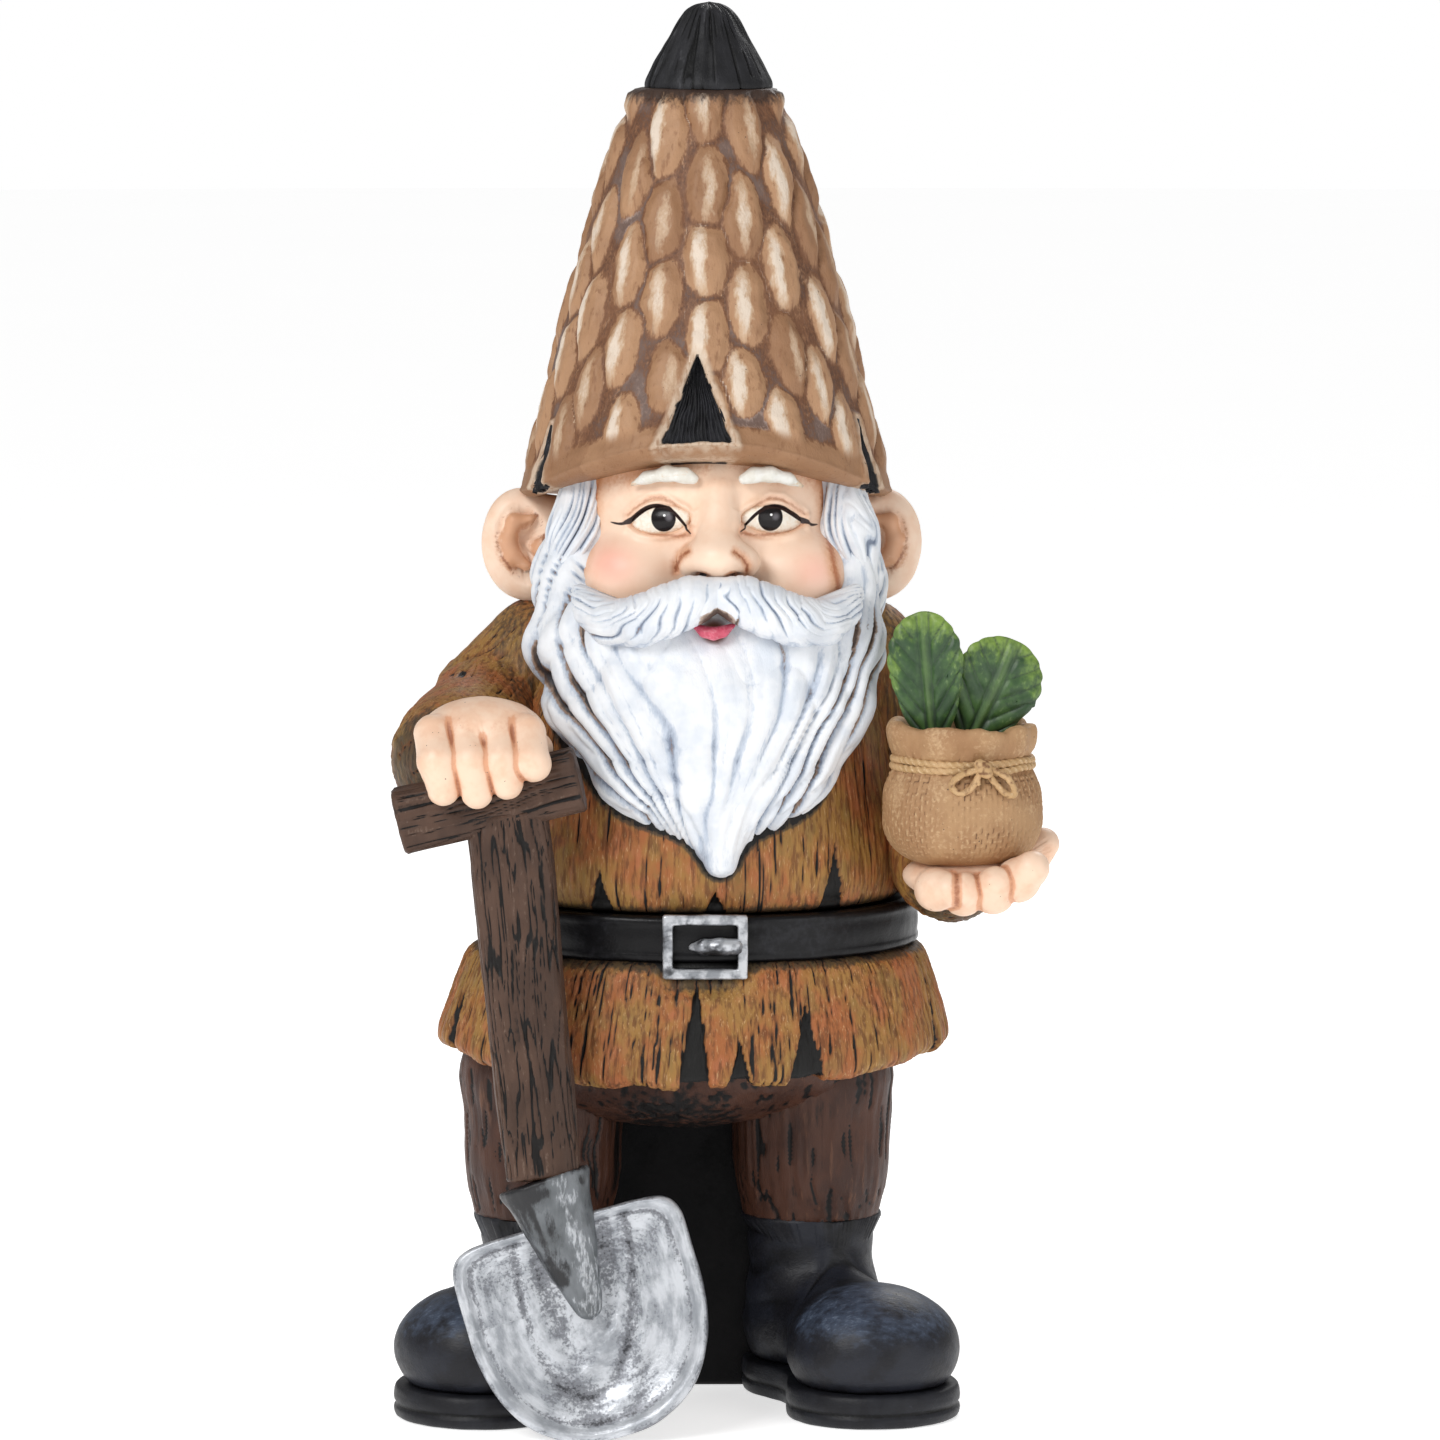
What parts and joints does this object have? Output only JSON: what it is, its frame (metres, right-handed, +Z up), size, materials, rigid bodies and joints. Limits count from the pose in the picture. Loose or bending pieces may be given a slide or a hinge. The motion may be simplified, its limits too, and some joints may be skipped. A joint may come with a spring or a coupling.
{
  "type": "garden gnome",
  "caption": "Cast garden gnome in a tall thatched hat, resting its right hand on a T-handled spade and holding a sack of seedlings.",
  "frame": {"origin": "middle of the whole figure's base rectangle, on the floor", "axes": "+Z up the figure, -Y the way the gnome faces, +X towards the gnome's own left hand, which holds the sack"},
  "size_m": [0.2124, 0.1546, 0.4505],
  "materials": {
    "painted_skin": "satin paint",
    "white_hair": "satin paint with a grey wash",
    "straw_brown": "matt paint, dry-brushed",
    "straw_black": "matt paint",
    "tunic_ochre": "matt paint with a black wash",
    "belt_black": "satin paint",
    "buckle_silver": "metallic silver paint",
    "trouser_brown": "matt paint",
    "boot_black": "satin paint",
    "sole_black": "matt paint",
    "web_black": "matt paint",
    "spade_wood": "matt paint",
    "spade_steel": "metallic silver paint over black",
    "burlap": "matt paint",
    "twine": "matt paint",
    "leaf_green": "satin paint",
    "eye_white": "gloss paint",
    "lip_red": "satin paint"
  },
  "bodies": {
    "root": {"hat": "straw_brown", "hat_tip": "straw_black", "hat_tear_front": "straw_black", "hat_tear_left": "straw_black", "hat_tear_right": "straw_black", "head": "painted_skin", "ear_left": "painted_skin", "ear_right": "painted_skin", "eye_left": "eye_white", "eye_right": "eye_white", "eyebrow_left": "white_hair", "eyebrow_right": "white_hair", "lower_lip": "lip_red", "hair_left": "white_hair", "hair_right": "white_hair", "hair_back": "white_hair", "moustache_left": "white_hair", "moustache_right": "white_hair", "beard": "white_hair", "tunic_body": "tunic_ochre", "tunic_skirt": "tunic_ochre", "sleeve_left": "tunic_ochre", "sleeve_right": "tunic_ochre", "belt": "belt_black", "belt_buckle": "buckle_silver", "buckle_prong": "buckle_silver", "hand_left": "painted_skin", "hand_right": "painted_skin", "trousers": "trouser_brown", "boot_left": "boot_black", "boot_right": "boot_black", "sole_left": "sole_black", "sole_right": "sole_black", "leg_web": "web_black", "spade_grip": "spade_wood", "spade_shaft": "spade_wood", "spade_socket": "spade_steel", "spade_blade": "spade_steel", "sack": "burlap", "sack_twine": "twine", "sack_bow": "twine", "leaf_left": "leaf_green", "leaf_right": "leaf_green"}
  },
  "joints": []
}
